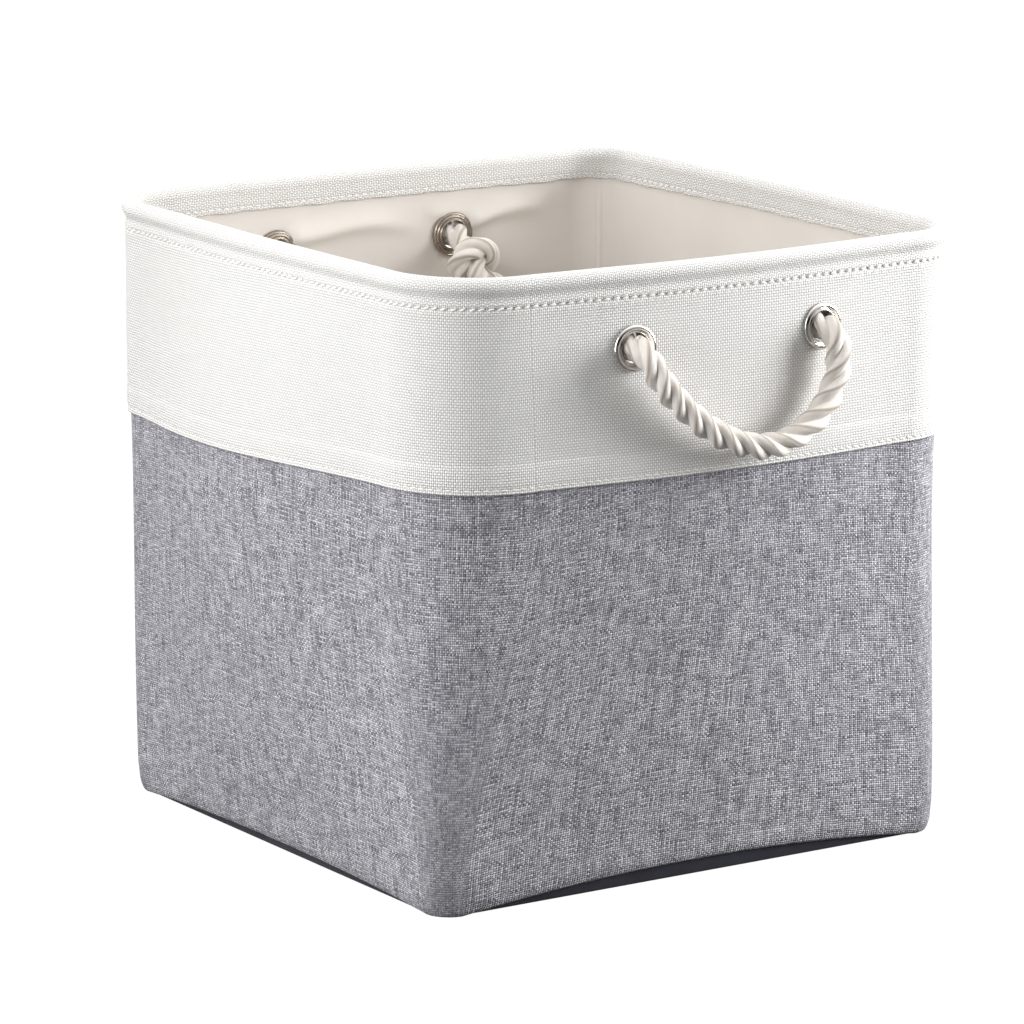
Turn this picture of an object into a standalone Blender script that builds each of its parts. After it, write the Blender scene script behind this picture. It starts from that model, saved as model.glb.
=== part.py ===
"""A square fabric storage bin with a wire rim, boarded walls and two rope handles.

Units are metres, +Z is up, and the origin is the centre of the base, on the floor.
The handle walls face -Y (front) and +Y (back), and the plain walls face -X and +X.
Every layer of the wall is a sweep of a small cross-section round one shared skin: its points
are given by how far they lie inside the outer face (inset) and how high they are (z).
"""

import math

import bmesh
import bpy
from mathutils import Matrix, Vector

# Outside form
RIM_WIDTH, RIM_DEPTH = 0.328, 0.342
BASE_WIDTH, BASE_DEPTH = 0.320, 0.319
HEIGHT = 0.326
# Corner radii, for the corners that follow the front, right, back and left wall
RIM_CORNERS = (0.038, 0.029, 0.037, 0.052)
MID_CORNERS = (0.038, 0.030, 0.030, 0.056)  # at the hem of the upper band
BASE_CORNER = 0.018
# How far the middle of the front, right, back and left wall stands out at half height and at the rim
BELLY = (0.005, 0.009, 0.009, 0.0145)
RIM_BOW = (0.0065, 0.0015, 0.001, 0.002)
HEM_LIFT = (0.009, 0.0055, 0.009, 0.0055)  # how far the lower hem arches up in mid wall
TUCK, TUCK_HEIGHT = 0.003, 0.018  # the walls turn in just above the floor

# Cloth layers, as (inset of the outer side, inset of the inner side)
GAP = 0.0003
BAND = (0.0, 0.001)
GREY = (0.0013, 0.0022)
BASE_CLOTH = (0.0026, 0.0034)
BOARD = (0.0040, 0.0053)
LINING = (0.0058, 0.0065)
FACING = (0.0068, 0.0077)

# Heights of the layers
BAND_HEM = 0.216
GREY_TOP = 0.228
STITCH_LINE = 0.311
FACING_HEM = 0.3095
LINING_TOP = 0.3135
BOARD_TOP = 0.298
# Every layer has a row of corners at each of these heights that it passes, so that layers stay parallel
LEVELS = (
    (0.006, 0.018, 0.06, 0.11, 0.165)
    + (BAND_HEM, GREY_TOP, 0.262)
    + (BOARD_TOP, FACING_HEM, STITCH_LINE, LINING_TOP)
)
BASE_TURN_UP = 0.014  # the base cloth is sewn this far up inside the hem
LINING_FLOOR = BASE_CLOTH[1] - BASE_CLOTH[0] + GAP
LINING_FLOOR_THICKNESS = LINING[1] - LINING[0]

# Rim wire and the fold of cloth round it
WIRE_RADIUS = 0.0018
ROLL_RADIUS = 0.0045
ROLL_CENTRE = (0.0033, HEIGHT - ROLL_RADIUS)

# Handles
GROMMET_X, GROMMET_Z = 0.0575, 0.285
HANDLE_SHIFT = {0: 0.005, 2: 0.0}  # how far along its wall the middle of each handle sits
EYELET_HOLE_RADIUS, BARREL_RADIUS, FLANGE_RADIUS = 0.0075, 0.0082, 0.012
HOLE_CUTTER_LENGTH = 0.04
METAL_GAP = 0.0006  # between the cloth and the metal that is clenched on it
ROPE_RADIUS = 0.0065
PIVOT_Y = {0: 0.1861, 2: 0.1844}  # each handle swings on an axis 11.5 mm outside its grommets
KNOT_RADII = (0.017, 0.015, 0.016)
KNOT_TRAVEL = 0.003  # the rope pulls out this far before its knots meet the washers
KNOT_DROP = 0.006
TAIL_END_Z, TAIL_TAPER = 0.238, 0.0015
WASHER_REACH = 0.0034  # from the lining to the innermost edge of a washer and its clenched lip

# The front handle's rope, from one grommet to the other: along the wall, out from the pivot, height
ROPE_ROUTE = (
    (-0.0575, 0.0000, 0.2850),
    (-0.0545, -0.0004, 0.2765),
    (-0.0490, -0.0008, 0.2680),
    (-0.0410, -0.0013, 0.2595),
    (-0.0320, -0.0018, 0.2510),
    (-0.0220, -0.0023, 0.2430),
    (-0.0105, -0.0027, 0.2362),
    (0.0020, -0.0030, 0.2315),
    (0.0150, -0.0030, 0.2295),
    (0.0270, -0.0028, 0.2310),
    (0.0380, -0.0024, 0.2358),
    (0.0475, -0.0019, 0.2432),
    (0.0545, -0.0013, 0.2525),
    (0.0585, -0.0008, 0.2635),
    (0.0588, -0.0003, 0.2745),
    (0.0575, 0.0000, 0.2850),
)

# Loose board in the base
INSERT_HALF_WIDTH, INSERT_HALF_DEPTH, INSERT_CORNER = 0.147, 0.144, 0.012
COVER_CLOTH, CORE_THICKNESS = 0.0006, 0.003
INSERT_FLOOR = LINING_FLOOR + LINING_FLOOR_THICKNESS + GAP
INSERT_HINGE = Vector((0, -INSERT_HALF_DEPTH, INSERT_FLOOR))  # it tips up about its front lower edge

# How finely the round forms are cut
CORNER_STEPS, WALL_STEPS = 5, 6
TURN_STEPS = 24
ROPE_SIDES = 12
SHARPEST_SMOOTH_ANGLE = math.radians(35)

SIDES = ("front", "right", "back", "left")
NORMALS = ((0, -1), (1, 0), (0, 1), (-1, 0))
ALONGS = ((1, 0), (0, 1), (-1, 0), (0, -1))


def between(low, high, share):
    return low + (high - low) * share


def smooth(share):
    share = min(1.0, max(0.0, share))
    return share * share * (3 - 2 * share)


def bulge(along):
    """0 at both ends of a wall and 1 in its middle, flat at the ends."""
    return (4 * along * (1 - along)) ** 1.5 if 0 < along < 1 else 0.0


def half_sizes(side, z):
    """Half the bin's size across a wall and along it, at a height."""
    share = z / HEIGHT
    half_width = between(BASE_WIDTH, RIM_WIDTH, share) / 2
    half_depth = between(BASE_DEPTH, RIM_DEPTH, share) / 2
    return (half_width, half_depth) if side % 2 else (half_depth, half_width)


def corner_radius(corner, z):
    middle = MID_CORNERS[corner]
    if z < BAND_HEM:
        return between(BASE_CORNER, middle, smooth(z / BAND_HEM))
    return between(middle, RIM_CORNERS[corner], smooth((z - BAND_HEM) / (HEIGHT - BAND_HEM)))


def flat_span(side, z):
    """Where the flat part of a wall starts and ends, from the middle of the side."""
    _, along = half_sizes(side, z)
    return corner_radius(side - 1, z) - along, along - corner_radius(side, z)


def bow(side, z):
    """How far the middle of a wall stands out at a height."""
    share = z / HEIGHT
    return RIM_BOW[side] * share + 4 * BELLY[side] * share * (1 - share)


def tuck(z):
    return TUCK * max(0.0, 1 - z / TUCK_HEIGHT) ** 2


# A station is a place on the way round the bin: (side, place along it) on a wall, from 0 to 1,
# and from 1 to 2 round the corner that follows.


def stations_round():
    found = []
    for side in range(4):
        found += [(side, k / WALL_STEPS) for k in range(WALL_STEPS)]
        found += [(side, 1 + k / CORNER_STEPS) for k in range(CORNER_STEPS)]
    return found


def skin_point(station, inset, z):
    side, place = station
    across, along = half_sizes(side, z)
    inset = inset + tuck(z)
    normal, direction = Vector(NORMALS[side]), Vector(ALONGS[side])
    if place <= 1:
        out = across - inset + bow(side, z) * bulge(place)
        point = normal * out + direction * between(*flat_span(side, z), place)
    else:
        radius = corner_radius(side, z)
        angle = (place - 1) * math.pi / 2
        outward = normal * math.cos(angle) + direction * math.sin(angle)
        centre = normal * (across - radius) + direction * (along - radius)
        point = centre + outward * (radius - inset)
    return Vector((point.x, point.y, z))


def hem_lift(station):
    side, place = station
    return HEM_LIFT[side] * 4 * place * (1 - place) if place < 1 else 0.0


def grommet_frame(side, along):
    """A point on the flat facet of a wall's outer face where a grommet sits, and the outward direction."""
    start, end = flat_span(side, GROMMET_Z)
    place = (along - start) / (end - start)
    first = math.floor(place * WALL_STEPS) / WALL_STEPS
    low = max(z for z in LEVELS if z <= GROMMET_Z)
    high = min(z for z in LEVELS if z > GROMMET_Z)
    share_along = (place - first) * WALL_STEPS
    share_up = (GROMMET_Z - low) / (high - low)
    (a, b), (c, d) = [
        [skin_point((side, first + k / WALL_STEPS), 0, z) for k in (0, 1)] for z in (low, high)
    ]
    left, right = a.lerp(c, share_up), b.lerp(d, share_up)
    outward = (right - left).cross(c.lerp(d, share_along) - a.lerp(b, share_along))
    return left.lerp(right, share_along), outward.normalized()


# Building


def clear_scene():
    for old in list(bpy.data.objects):
        bpy.data.objects.remove(old, do_unlink=True)


def new_collection(name):
    collection = bpy.data.collections.new(name)
    bpy.context.scene.collection.children.link(collection)
    return collection


def new_material(name, colour, roughness, metallic=0.0):
    material = bpy.data.materials.new(name)
    material.use_nodes = True
    shader = material.node_tree.nodes["Principled BSDF"]
    shader.inputs["Base Color"].default_value = (*colour, 1)
    shader.inputs["Roughness"].default_value = roughness
    shader.inputs["Metallic"].default_value = metallic
    return material


def add_mesh(name, mesh_source, material, collection):
    """An object from a bmesh, with its faces turned outwards."""
    bmesh.ops.recalc_face_normals(mesh_source, faces=mesh_source.faces)
    mesh = bpy.data.meshes.new(name)
    mesh_source.to_mesh(mesh)
    mesh_source.free()
    mesh.shade_smooth()
    mesh.set_sharp_from_angle(angle=SHARPEST_SMOOTH_ANGLE)
    mesh.materials.append(material)
    made = bpy.data.objects.new(name, mesh)
    collection.objects.link(made)
    return made


def loft(name, rings, closed, material, collection):
    """A solid through rings of points: joined end to end if closed, and capped if not."""
    source = bmesh.new()
    rows = [[source.verts.new(point) for point in ring] for ring in rings]
    count = len(rings[0])
    pairs = list(zip(rows, rows[1:] + rows[:1])) if closed else list(zip(rows, rows[1:]))
    for first, second in pairs:
        for k in range(count):
            a, b, c, d = first[k], first[(k + 1) % count], second[(k + 1) % count], second[k]
            # Cut so that each diagonal climbs the same way round, on the inner side as on the outer
            halves = ((a, b, c), (a, c, d)) if b.co.z > a.co.z else ((a, b, d), (b, c, d))
            for half in halves:
                source.faces.new(half)
    if not closed:
        source.faces.new(rows[0])
        source.faces.new(reversed(rows[-1]))
    bmesh.ops.triangulate(source, faces=source.faces)
    return add_mesh(name, source, material, collection)


def sweep(name, stations, section, closed, material, collection):
    """section(station) gives the cross-section's corners there as (inset, z)."""
    rings = [[skin_point(s, inset, z) for inset, z in section(s)] for s in stations]
    return loft(name, rings, closed, material, collection)


def turned(name, outline, material, collection):
    """A ring-shaped solid turned round Z from its outline, given as (radius, height)."""
    source = bmesh.new()
    points = [source.verts.new((radius, 0, height)) for radius, height in outline]
    for first, second in zip(points, points[1:] + points[:1]):
        source.edges.new((first, second))
    made = add_mesh(name, source, material, collection)
    screw = made.modifiers.new("turn", "SCREW")
    screw.steps = screw.render_steps = TURN_STEPS
    screw.use_merge_vertices = True
    screw.merge_threshold = 0.00001
    screw.use_normal_flip = True
    screw.use_smooth_shade = True
    return made


def point_along(made, place, direction):
    """Puts an object at a place with its Z axis along a direction."""
    made.location = place
    made.rotation_euler = direction.to_track_quat("Z", "Y").to_euler()


def rounded_slab(name, half_width, half_depth, radius, low, high, material, collection):
    outline = []
    for k in range(4):
        centre_x = (half_width - radius) * (1, -1, -1, 1)[k]
        centre_y = (half_depth - radius) * (1, 1, -1, -1)[k]
        for step in range(CORNER_STEPS + 1):
            angle = math.pi / 2 * (k + step / CORNER_STEPS)
            x = centre_x + radius * math.cos(angle)
            outline.append((x, centre_y + radius * math.sin(angle)))
    rings = [[Vector((x, y, z)) for x, y in outline] for z in (low, high)]
    return loft(name, rings, False, material, collection)


def combine(made, helper, operation):
    """Cuts a helper from an object or joins it on. The helper itself isn't part of the bin."""
    helper.hide_render = True
    helper.display_type = "WIRE"
    boolean = made.modifiers.new(helper.name, "BOOLEAN")
    boolean.operation = operation
    boolean.solver = "EXACT"
    boolean.object = helper


# The cloth shell


def climb(inset, low, high):
    """The corners of one side of a cloth, from its lower edge to its upper one."""
    return [(inset, z) for z in (low, *[z for z in LEVELS if low < z < high], high)]


def layer(outer, inner, low, high):
    """A cross-section that runs up the outer side of a cloth and down its inner side."""
    return climb(outer, low, high) + climb(inner, low, high)[::-1]


def grey_section(station):
    """The row at the second level follows the arched hem, and the rest of the wall is level."""
    lift = hem_lift(station)
    levels = (lift, LEVELS[0] + lift * 2 / 3, *LEVELS[1 : LEVELS.index(GREY_TOP) + 1])
    rise = [(GREY[0], z) for z in levels]
    return rise + [(GREY[1], z) for z in reversed(levels)]


def band_section(station):
    """Up the outside, over the rim wire, and down inside as a facing."""
    centre_inset, centre_z = ROLL_CENTRE
    cloth = BAND[1] - BAND[0]
    outside = climb(BAND[0], BAND_HEM, STITCH_LINE)
    fold = range(0, 181, 30)
    roll = [
        (
            centre_inset - ROLL_RADIUS * math.cos(math.radians(a)),
            centre_z + ROLL_RADIUS * math.sin(math.radians(a)),
        )
        for a in fold
    ]
    inner_radius = ROLL_RADIUS - cloth
    under = [
        (
            centre_inset - inner_radius * math.cos(math.radians(a)),
            centre_z + inner_radius * math.sin(math.radians(a)),
        )
        for a in reversed(fold)
    ]
    facing = [
        (FACING[1], STITCH_LINE),
        (FACING[1], FACING_HEM),
        (FACING[0], FACING_HEM),
        (FACING[0], STITCH_LINE + 0.001),
    ]
    inside = climb(BAND[1], BAND_HEM, STITCH_LINE)[::-1]
    return outside + roll + facing + under + inside


def wire_section(station):
    centre_inset, centre_z = ROLL_CENTRE
    angles = [math.pi / 4 * k for k in range(8)]
    return [
        (centre_inset + WIRE_RADIUS * math.cos(a), centre_z + WIRE_RADIUS * math.sin(a))
        for a in angles
    ]


def lining_section(station):
    return layer(*LINING, INSERT_FLOOR, LINING_TOP)


def board_section(station):
    return layer(*BOARD, LINING_FLOOR, BOARD_TOP)


def make_base_cloth(material, collection):
    """Flat on the floor, and turned up all round inside the hem."""
    outer, inner = BASE_CLOTH
    low = LEVELS[0]
    corners = ((outer, 0), (outer, low), (outer, None), (inner, None), (inner, low), (inner, inner - outer))
    rings = []
    for inset, height in corners:
        ring = []
        for station in stations_round():
            turned_up = hem_lift(station) + BASE_TURN_UP
            ring.append(skin_point(station, inset, turned_up if height is None else height))
        rings.append(ring)
    return loft("outer_base", rings, False, material, collection)


def make_lining_floor(material, collection):
    """A flat sheet under the lower edge of the lining's walls."""
    inset = LINING[0] + 0.0001
    rings = [
        [skin_point(station, inset, z) for station in stations_round()]
        for z in (LINING_FLOOR, LINING_FLOOR + LINING_FLOOR_THICKNESS)
    ]
    return loft("lining_floor", rings, False, material, collection)


def make_board(side, material, collection):
    """A stiff board along the flat part of one wall, following its bow."""
    stations = [(side, k / WALL_STEPS) for k in range(WALL_STEPS + 1)]
    return sweep(f"wall_board_{SIDES[side]}", stations, board_section, False, material, collection)


# Grommets


def eyelet_outline():
    """A domed flange outside, a barrel through the wall, and a lip rolled over the washer."""
    washer_face = -(LINING[1] + METAL_GAP + 0.0008)
    lip_top = washer_face - GAP
    return (
        (BARREL_RADIUS, METAL_GAP),
        (FLANGE_RADIUS, METAL_GAP),
        (FLANGE_RADIUS, METAL_GAP + 0.0005),
        (0.0112, 0.0018),
        (0.0098, 0.0023),
        (0.0084, 0.0018),
        (EYELET_HOLE_RADIUS, METAL_GAP),
        (EYELET_HOLE_RADIUS, lip_top - 0.0004),
        (0.0082, lip_top - 0.0010),
        (0.0094, lip_top - 0.0010),
        (0.0098, lip_top - 0.0003),
        (0.0098, lip_top),
        (BARREL_RADIUS, lip_top),
    )


def washer_outline():
    near = -(LINING[1] + METAL_GAP)
    return (
        (BARREL_RADIUS + GAP, near),
        (BARREL_RADIUS + GAP, near - 0.0008),
        (0.0100, near - 0.0008),
        (FLANGE_RADIUS - 0.0006, near - 0.0007),
        (FLANGE_RADIUS, near - 0.0002),
        (FLANGE_RADIUS, near),
    )


def make_grommet(side, along, label, cut, metal, inner_metal, collection, helpers):
    """The eyelet and washer of one rope end, and their hole through the layers in cut."""
    place, outward = grommet_frame(side, along)
    eyelet = turned(f"eyelet_{label}", eyelet_outline(), metal, collection)
    washer = turned(f"washer_{label}", washer_outline(), inner_metal, collection)
    for made in (eyelet, washer):
        point_along(made, place, outward)
    source = bmesh.new()
    radius = BARREL_RADIUS + GAP
    bmesh.ops.create_cone(
        source, cap_ends=True, segments=TURN_STEPS, radius1=radius, radius2=radius, depth=HOLE_CUTTER_LENGTH
    )
    cutter = add_mesh(f"hole_{label}", source, metal, helpers)
    point_along(cutter, place, outward)
    for piece in cut:
        combine(piece, cutter, "DIFFERENCE")


# Rope


def smooth_line(points, pieces):
    """Points on a Catmull-Rom curve through the given ones."""
    ends = [points[0] * 2 - points[1], *points, points[-1] * 2 - points[-2]]
    line = []
    for a, b, c, d in zip(ends, ends[1:], ends[2:], ends[3:]):
        for k in range(pieces):
            t = k / pieces
            line.append(
                0.5
                * (
                    2 * b
                    + (c - a) * t
                    + (2 * a - 5 * b + 4 * c - d) * t * t
                    + (3 * b - a - 3 * c + d) * t ** 3
                )
            )
    return line + [points[-1]]


def make_rope_loop(side, pivot, material, collection):
    """The hanging part of a handle. Its ends are half balls about the axis it swings on."""
    turn = 1 if NORMALS[side][1] < 0 else -1
    points = [Vector((x * turn, out * turn, z - GROMMET_Z)) for x, out, z in ROPE_ROUTE]
    line = [(point, 1.0) for point in smooth_line(points, 2)]
    for end in (0, -1):
        tip, inner = line[end][0], line[1 if end == 0 else -2][0]
        outward = (tip - inner).normalized()
        for degrees in (25, 50, 75):
            angle = math.radians(degrees)
            extra = (tip + outward * ROPE_RADIUS * math.sin(angle), math.cos(angle))
            line.insert(0 if end == 0 else len(line), extra)
    curve = bpy.data.curves.new(f"rope_loop_{SIDES[side]}", "CURVE")
    curve.dimensions = "3D"
    curve.bevel_depth = ROPE_RADIUS
    curve.bevel_resolution = ROPE_SIDES // 4 - 1
    curve.use_fill_caps = True
    spline = curve.splines.new("POLY")
    spline.points.add(len(line) - 1)
    for target, (point, scale) in zip(spline.points, line):
        target.co = (*point, 1)
        target.radius = scale
    curve.materials.append(material)
    made = bpy.data.objects.new(f"rope_loop_{SIDES[side]}", curve)
    made.location = pivot
    collection.objects.link(made)


def make_rope_end(side, x, pivot, label, material, collection, helpers):
    """The rope's straight run through a grommet, with the knot and tail that hold it inside."""
    inward = -Vector((*NORMALS[side], 0))
    place, _ = grommet_frame(side, x * ALONGS[side][0])
    start = pivot.y + inward.y * (ROPE_RADIUS + GAP)
    knot_face = place.y + inward.y * (LINING[1] + WASHER_REACH + KNOT_TRAVEL)
    knot_y = knot_face + inward.y * KNOT_RADII[1]
    knot = Vector((x, knot_y, GROMMET_Z - KNOT_DROP))

    source = bmesh.new()
    length = abs(knot_y - start)
    bmesh.ops.create_cone(
        source,
        cap_ends=True,
        segments=ROPE_SIDES,
        radius1=ROPE_RADIUS,
        radius2=ROPE_RADIUS,
        depth=length,
    )
    end = add_mesh(f"rope_knot_{label}", source, material, collection)
    point_along(end, Vector((x, (start + knot_y) / 2, GROMMET_Z)), Vector((0, 1, 0)))

    ball = bmesh.new()
    bmesh.ops.create_uvsphere(ball, u_segments=16, v_segments=9, radius=1)
    body = add_mesh(f"knot_body_{label}", ball, material, helpers)
    body.location = knot
    body.scale = KNOT_RADII
    combine(end, body, "UNION")

    tail = bmesh.new()
    height = knot.z - TAIL_END_Z
    bmesh.ops.create_cone(
        tail,
        cap_ends=True,
        segments=ROPE_SIDES,
        radius1=ROPE_RADIUS + TAIL_TAPER,
        radius2=ROPE_RADIUS,
        depth=height,
    )
    hanging = add_mesh(f"knot_tail_{label}", tail, material, helpers)
    hanging.location = (knot.x, knot.y, knot.z - height / 2)
    combine(end, hanging, "UNION")


def make_handle(side, rope, metal, inner_metal, cut, collection, helpers):
    shift = HANDLE_SHIFT[side]
    pivot = Vector((shift * ALONGS[side][0], NORMALS[side][1] * PIVOT_Y[side], GROMMET_Z))
    make_rope_loop(side, pivot, rope, collection)
    for hand, along in (("left", shift - GROMMET_X), ("right", shift + GROMMET_X)):
        label = f"{SIDES[side]}_{hand}"
        make_grommet(side, along, label, cut, metal, inner_metal, collection, helpers)
        x = along * ALONGS[side][0]
        make_rope_end(side, x, pivot, label, rope, collection, helpers)


# The loose base board


def make_base_insert(card, cloth, collection, helpers):
    """A stiff board in a cloth cover that is open along its back edge."""
    core_low = INSERT_FLOOR + COVER_CLOTH + GAP
    core_high = core_low + CORE_THICKNESS
    room_low, room_high = core_low - GAP, core_high + GAP
    cover_high = room_high + COVER_CLOTH
    width, depth, corner = INSERT_HALF_WIDTH, INSERT_HALF_DEPTH, INSERT_CORNER
    room_width = width - COVER_CLOTH
    core_width, core_depth = room_width - GAP, depth - COVER_CLOTH - GAP

    cover = rounded_slab(
        "base_board_cover", width, depth, corner, INSERT_FLOOR, cover_high, cloth, collection
    )
    room = rounded_slab("cover_pocket", room_width, depth, corner, room_low, room_high, cloth, helpers)
    core = rounded_slab("base_board", core_width, core_depth, corner, core_low, core_high, card, collection)
    for made in (cover, room, core):
        made.data.transform(Matrix.Translation(-INSERT_HINGE))
        made.location = INSERT_HINGE
    room.location.y += COVER_CLOTH
    combine(cover, room, "DIFFERENCE")


def main():
    clear_scene()
    collection = new_collection("fabric_storage_bin")
    helpers = new_collection("cutters")
    canvas = new_material("cream_canvas", (0.83, 0.81, 0.77), 0.9)
    linen = new_material("grey_linen", (0.29, 0.29, 0.33), 0.95)
    slate = new_material("slate_base_cloth", (0.05, 0.05, 0.07), 0.9)
    cotton = new_material("cream_lining", (0.72, 0.66, 0.58), 0.9)
    card = new_material("grey_board", (0.42, 0.40, 0.37), 0.95)
    steel = new_material("steel_wire", (0.55, 0.55, 0.56), 0.35, 1.0)
    nickel = new_material("polished_nickel", (0.78, 0.75, 0.70), 0.12, 1.0)
    dull_nickel = new_material("dull_nickel", (0.40, 0.34, 0.28), 0.3, 1.0)
    rope = new_material("cotton_rope", (0.80, 0.74, 0.66), 0.9)

    around = stations_round()
    sweep("grey_outer_wall", around, grey_section, True, linen, collection)
    band = sweep("cream_upper_band", around, band_section, True, canvas, collection)
    lining = sweep("lining_wall", around, lining_section, True, cotton, collection)
    sweep("rim_wire", around, wire_section, True, steel, collection)
    make_base_cloth(slate, collection)
    make_lining_floor(cotton, collection)
    boards = [make_board(side, card, collection) for side in range(4)]
    for side in (0, 2):
        cut = (band, lining, boards[side])
        make_handle(side, rope, nickel, dull_nickel, cut, collection, helpers)
    make_base_insert(card, cotton, collection, helpers)


main()
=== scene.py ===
import math

import bmesh
import bpy
import numpy as np
from mathutils import Matrix, Vector


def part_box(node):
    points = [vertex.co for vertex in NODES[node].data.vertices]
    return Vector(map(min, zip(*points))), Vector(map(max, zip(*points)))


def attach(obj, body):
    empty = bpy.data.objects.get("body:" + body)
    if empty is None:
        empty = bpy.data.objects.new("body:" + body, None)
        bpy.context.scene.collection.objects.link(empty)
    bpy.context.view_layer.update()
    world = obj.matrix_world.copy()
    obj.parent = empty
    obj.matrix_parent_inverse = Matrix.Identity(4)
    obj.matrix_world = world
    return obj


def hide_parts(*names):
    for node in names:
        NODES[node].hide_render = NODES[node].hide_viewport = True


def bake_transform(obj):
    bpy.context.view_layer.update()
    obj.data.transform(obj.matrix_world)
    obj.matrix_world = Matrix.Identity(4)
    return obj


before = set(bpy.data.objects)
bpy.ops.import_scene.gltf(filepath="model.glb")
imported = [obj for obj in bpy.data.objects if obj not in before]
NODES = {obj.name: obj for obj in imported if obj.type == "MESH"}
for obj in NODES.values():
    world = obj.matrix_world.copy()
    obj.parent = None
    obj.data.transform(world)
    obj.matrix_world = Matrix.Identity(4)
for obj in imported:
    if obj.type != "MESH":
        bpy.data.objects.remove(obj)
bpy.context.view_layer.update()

# The bin's form, in metres. Every layer of cloth follows one skin: inset is how far a layer lies
# inside the outer face, and a station is (side, place), with place 0 to 1 along a wall and
# 1 to 2 round the corner after it. The sides are front (-Y), right (+X), back (+Y), left (-X).
HEIGHT = 0.326
RIM_WIDTH, RIM_DEPTH = 0.328, 0.342
BASE_WIDTH, BASE_DEPTH = 0.320, 0.319
BAND_HEM, GREY_TOP = 0.216, 0.228
# For the corners that follow the front, right, back and left wall
RIM_CORNERS = np.array([0.038, 0.029, 0.037, 0.052])
MID_CORNERS = np.array([0.038, 0.030, 0.030, 0.056])
BASE_CORNER = 0.018
# For the front, right, back and left wall
BELLY = np.array([0.005, 0.009, 0.009, 0.0145])
RIM_BOW = np.array([0.0065, 0.0015, 0.001, 0.002])
HEM_LIFT = np.array([0.009, 0.0055, 0.009, 0.0055])
TUCK, TUCK_HEIGHT = 0.003, 0.018
SIDE_OUT = np.array([(0, -1), (1, 0), (0, 1), (-1, 0)], float)
SIDE_ALONG = np.array([(1, 0), (0, 1), (-1, 0), (0, -1)], float)

# Heights of the seam under the wire and of the facing's lower edge
CASING_SEAM, FACING_HEM = 0.311, 0.3095
# The roll of canvas over the wire
ROLL_RADIUS, ROLL_INSET = 0.0045, 0.0033
ROLL_Z = HEIGHT - ROLL_RADIUS
# Insets of the lining's outer and inner faces, of the facing's back and of its visible face
LINING_OUTER, LINING_INNER = 0.0058, 0.0065
FACING_BACK, FACING_FACE = 0.0068, 0.0079

# The grommets: how far from the handle's middle, how high, and the hole they need in the cloth
GROMMET_X, GROMMET_Z, GROMMET_HOLE = 0.0575, 0.285, 0.0094
# How far along its wall each handle's middle is from the wall's, by side
HANDLE_SHIFT = {0: 0.005, 2: 0.0}
ROPE_RADIUS = 0.0065


# The skin

def between(low, high, share):
    return low + (high - low) * share


def smooth(share):
    share = np.clip(share, 0, 1)
    return share * share * (3 - 2 * share)


def unit(vectors):
    """Rows of vectors, each brought to a length of one."""
    return vectors / np.linalg.norm(vectors, axis=1, keepdims=True)


def stations_round(wall_steps, corner_steps):
    side, place = [], []
    for s in range(4):
        side += [s] * (wall_steps + corner_steps)
        place += [k / wall_steps for k in range(wall_steps)]
        place += [1 + k / corner_steps for k in range(corner_steps)]
    return np.array(side), np.array(place)


def softness(angle, z):
    """Small slow dents that stuffed-out cloth has, the same for every layer."""
    up = np.clip(z / HEIGHT, 0, 1)
    fade = np.sin(np.pi * np.clip(up * 1.25, 0, 1)) ** 2
    waves = (
        0.55 * np.sin(3 * angle + 0.6 + 2.4 * up)
        + 0.35 * np.sin(5 * angle + 2.0 - 3.1 * up)
        + 0.25 * np.sin(9 * angle + 1.1 + 5.0 * up)
        + 0.18 * np.sin(14 * angle + 4.0 - 9.0 * up)
    )
    return 0.0006 * fade * waves


def corner_radius(corner, z):
    low = between(BASE_CORNER, MID_CORNERS[corner], smooth(z / BAND_HEM))
    share = smooth((z - BAND_HEM) / (HEIGHT - BAND_HEM))
    return np.where(z < BAND_HEM, low, between(MID_CORNERS[corner], RIM_CORNERS[corner], share))


def skin(stations, inset, z):
    side, place = stations
    z = np.broadcast_to(np.asarray(z, float), side.shape)
    inset = np.broadcast_to(np.asarray(inset, float), side.shape)
    up = z / HEIGHT
    half_width = between(BASE_WIDTH, RIM_WIDTH, up) / 2
    half_depth = between(BASE_DEPTH, RIM_DEPTH, up) / 2
    odd = side % 2 == 1
    across = np.where(odd, half_width, half_depth)
    along = np.where(odd, half_depth, half_width)
    before, after = corner_radius((side - 1) % 4, z), corner_radius(side, z)
    inset = inset + TUCK * np.maximum(0, 1 - z / TUCK_HEIGHT) ** 2
    t = np.clip(place, 0, 1)
    bow = (RIM_BOW[side] * up + 4 * BELLY[side] * up * (1 - up)) * (4 * t * (1 - t)) ** 1.5
    turn = np.clip(place - 1, 0, 1) * np.pi / 2
    normal, direction = SIDE_OUT[side], SIDE_ALONG[side]
    outward = normal * np.cos(turn)[:, None] + direction * np.sin(turn)[:, None]
    centre = (
        normal * (across - after)[:, None]
        + direction * between(before - along, along - after, t)[:, None]
    )
    angle = np.arctan2(centre[:, 1], centre[:, 0])
    out = after - inset + bow * (place < 1) + softness(angle, z)
    flat = centre + outward * out[:, None]
    return np.concatenate([flat, z[:, None]], 1)


def hem_lift(stations):
    side, place = stations
    t = np.clip(place, 0, 1)
    return HEM_LIFT[side] * 4 * t * (1 - t)


def around_length(stations):
    """How far round each station is, in metres, with the full length at the end."""
    points = skin(stations, 0, 0.2)
    steps = np.linalg.norm(np.roll(points, -1, 0) - points, axis=1)
    return np.concatenate([[0], np.cumsum(steps)])


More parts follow.
